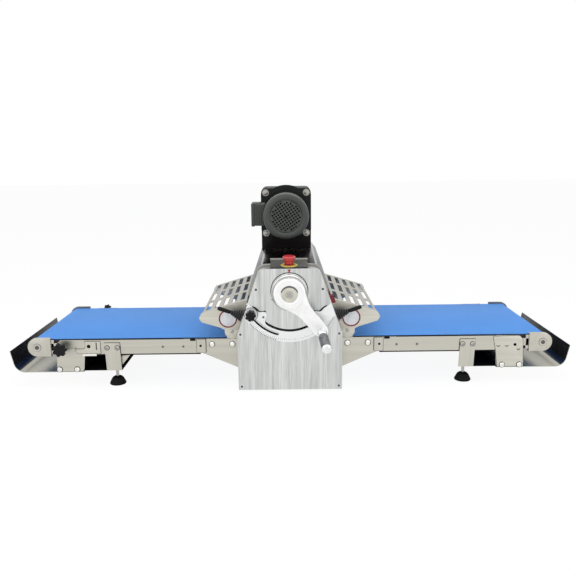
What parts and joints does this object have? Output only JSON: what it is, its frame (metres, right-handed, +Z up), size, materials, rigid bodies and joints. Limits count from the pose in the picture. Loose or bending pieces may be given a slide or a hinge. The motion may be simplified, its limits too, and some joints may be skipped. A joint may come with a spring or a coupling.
{
  "type": "reversible dough sheeter",
  "caption": "Worktop dough sheeter: a central roller head with a gap lever, hinged guards and a rear motor, between belt tables with catch trays.",
  "frame": {"origin": "middle of the bounding box's base, on the worktop", "axes": "+X along the tables to the operator's right, +Y to the back, +Z up"},
  "size_m": [1.8466, 0.7672, 0.641],
  "materials": {
    "steel": "warm grey stainless sheet, fine brushed",
    "bright_steel": "bright brushed stainless plate",
    "cast_metal": "bright cast and turned",
    "chrome": "polished",
    "belt": "matt blue belt with a fine weave",
    "rubber": "matt black",
    "black_plastic": "black, satin",
    "motor_paint": "dark grey paint, satin",
    "dark_metal": "near black paint, satin",
    "red_plastic": "red, gloss",
    "deck": "mid grey with a yellow disc under the button"
  },
  "bodies": {
    "machine": {"head_frame": "steel", "front_casing": "steel", "rear_casing": "steel", "top_cover": "steel", "front_plate": "bright_steel", "rear_panel": "bright_steel", "gap_dial": "cast_metal", "index_sector": "cast_metal", "motor": "motor_paint", "fan_cover": "motor_paint", "terminal_box": "motor_paint", "gear_housing": "dark_metal", "head_pad": "rubber", "guard_switch": "red_plastic", "control_deck": "deck", "arm_left_front": "steel", "arm_left_rear": "steel", "rail_left_front": "steel", "rail_left_rear": "steel", "bed_left": "steel", "end_yoke_left": "steel", "catch_tray_left": "steel", "leg_frame_left": "steel", "belt_left": "belt", "arm_right_front": "steel", "arm_right_rear": "steel", "rail_right_front": "steel", "rail_right_rear": "steel", "bed_right": "steel", "end_yoke_right": "steel", "catch_tray_right": "steel", "leg_frame_right": "steel", "belt_right": "belt"},
    "roller_carriage": {"roller_carriage": "steel", "scraper_left": "steel", "scraper_right": "steel"},
    "upper_roller": {"upper_roller": "chrome"},
    "lower_roller": {"lower_roller": "chrome"},
    "gap_lever": {"gap_lever": "cast_metal", "gap_shaft": "chrome", "lever_grip": "chrome"},
    "thickness_stop": {"stop_carrier": "cast_metal"},
    "stop_knob": {"stop_knob": "black_plastic"},
    "stop_button": {"stop_button": "red_plastic"},
    "motor_fan": {"motor_fan": "black_plastic"},
    "tension_knob": {"tension_knob": "black_plastic"},
    "inner_roller_left": {"inner_roller_left": "bright_steel"},
    "end_roller_left": {"end_roller_left": "bright_steel"},
    "guard_left": {"guard_left": "steel"},
    "reverse_lever_left": {"reverse_lever_left": "black_plastic", "reverse_boot_left": "rubber"},
    "foot_left_front": {"foot_left_front": "rubber"},
    "foot_left_rear": {"foot_left_rear": "rubber"},
    "inner_roller_right": {"inner_roller_right": "bright_steel"},
    "end_roller_right": {"end_roller_right": "bright_steel"},
    "guard_right": {"guard_right": "steel"},
    "reverse_lever_right": {"reverse_lever_right": "black_plastic", "reverse_boot_right": "rubber"},
    "foot_right_front": {"foot_right_front": "rubber"},
    "foot_right_rear": {"foot_right_rear": "rubber"}
  },
  "joints": [
    {"name": "roller_gap", "type": "slide", "parent": "machine", "child": "roller_carriage", "axis": [0, 0, 1], "range_m": [-0.022, 0]},
    {"name": "gap_lever_turn", "type": "hinge", "parent": "machine", "child": "gap_lever", "pos_m": [0, -0.26221, 0.331], "axis": [0, 1, 0], "range_deg": [0, 80]},
    {"name": "lower_roller_spin", "type": "hinge", "parent": "machine", "child": "lower_roller", "pos_m": [0, 0.03779, 0.127], "axis": [0, 1, 0], "continuous": true},
    {"name": "upper_roller_spin", "type": "hinge", "parent": "roller_carriage", "child": "upper_roller", "pos_m": [0, 0.03779, 0.224], "axis": [0, 1, 0], "continuous": true},
    {"name": "thickness_stop_turn", "type": "hinge", "parent": "machine", "child": "thickness_stop", "pos_m": [0, -0.25021, 0.331], "axis": [0, -1, 0], "range_deg": [-2, 42]},
    {"name": "stop_knob_spin", "type": "hinge", "parent": "thickness_stop", "child": "stop_knob", "pos_m": [-0.12172, -0.26721, 0.25786], "axis": [0, 1, 0], "continuous": true},
    {"name": "stop_button_push", "type": "slide", "parent": "machine", "child": "stop_button", "axis": [0, 0.0854, -0.9963], "range_m": [0, 0.0045], "stiffness_N_per_m": 400},
    {"name": "motor_fan_spin", "type": "hinge", "parent": "machine", "child": "motor_fan", "pos_m": [-0.008, -0.03821, 0.545], "axis": [0, 1, 0], "continuous": true},
    {"name": "tension_knob_spin", "type": "hinge", "parent": "machine", "child": "tension_knob", "pos_m": [-0.747, -0.21221, 0.1375], "axis": [0, 1, 0], "continuous": true},
    {"name": "inner_roller_left_spin", "type": "hinge", "parent": "machine", "child": "inner_roller_left", "pos_m": [-0.07, 0.03779, 0.1375], "axis": [0, 1, 0], "continuous": true},
    {"name": "end_roller_left_spin", "type": "hinge", "parent": "machine", "child": "end_roller_left", "pos_m": [-0.83, 0.03779, 0.1375], "axis": [0, 1, 0], "continuous": true},
    {"name": "guard_left_lift", "type": "hinge", "parent": "machine", "child": "guard_left", "pos_m": [-0.189, 0.03779, 0.184], "axis": [0, 1, 0], "range_deg": [0, 30]},
    {"name": "reverse_lever_left_rock", "type": "hinge", "parent": "machine", "child": "reverse_lever_left", "pos_m": [-0.14831, -0.21221, 0.243], "axis": [0, 1, 0], "range_deg": [-6, 6], "stiffness_Nm_per_rad": 3},
    {"name": "foot_left_front_turn", "type": "hinge", "parent": "machine", "child": "foot_left_front", "pos_m": [-0.58, -0.15421, 0.03], "axis": [0, 0, 1], "continuous": true},
    {"name": "foot_left_rear_turn", "type": "hinge", "parent": "machine", "child": "foot_left_rear", "pos_m": [-0.58, 0.22979, 0.03], "axis": [0, 0, 1], "continuous": true},
    {"name": "inner_roller_right_spin", "type": "hinge", "parent": "machine", "child": "inner_roller_right", "pos_m": [0.07, 0.03779, 0.1375], "axis": [0, 1, 0], "continuous": true},
    {"name": "end_roller_right_spin", "type": "hinge", "parent": "machine", "child": "end_roller_right", "pos_m": [0.83, 0.03779, 0.1375], "axis": [0, 1, 0], "continuous": true},
    {"name": "guard_right_lift", "type": "hinge", "parent": "machine", "child": "guard_right", "pos_m": [0.189, 0.03779, 0.184], "axis": [0, -1, 0], "range_deg": [0, 30]},
    {"name": "reverse_lever_right_rock", "type": "hinge", "parent": "machine", "child": "reverse_lever_right", "pos_m": [0.14831, -0.21221, 0.243], "axis": [0, 1, 0], "range_deg": [-6, 6], "stiffness_Nm_per_rad": 3},
    {"name": "foot_right_front_turn", "type": "hinge", "parent": "machine", "child": "foot_right_front", "pos_m": [0.58, -0.15421, 0.03], "axis": [0, 0, 1], "continuous": true},
    {"name": "foot_right_rear_turn", "type": "hinge", "parent": "machine", "child": "foot_right_rear", "pos_m": [0.58, 0.22979, 0.03], "axis": [0, 0, 1], "continuous": true}
  ],
  "couplings": [
    {"joint": "gap_lever_turn", "follows": "roller_gap", "rad_per_m": -63.467},
    {"joint": "upper_roller_spin", "follows": "lower_roller_spin", "ratio": -1},
    {"joint": "reverse_lever_right_rock", "follows": "reverse_lever_left_rock", "ratio": 1},
    {"joint": "inner_roller_left_spin", "follows": "lower_roller_spin", "ratio": 1.5},
    {"joint": "end_roller_left_spin", "follows": "lower_roller_spin", "ratio": 1.5},
    {"joint": "inner_roller_right_spin", "follows": "lower_roller_spin", "ratio": 1.5},
    {"joint": "end_roller_right_spin", "follows": "lower_roller_spin", "ratio": 1.5}
  ]
}
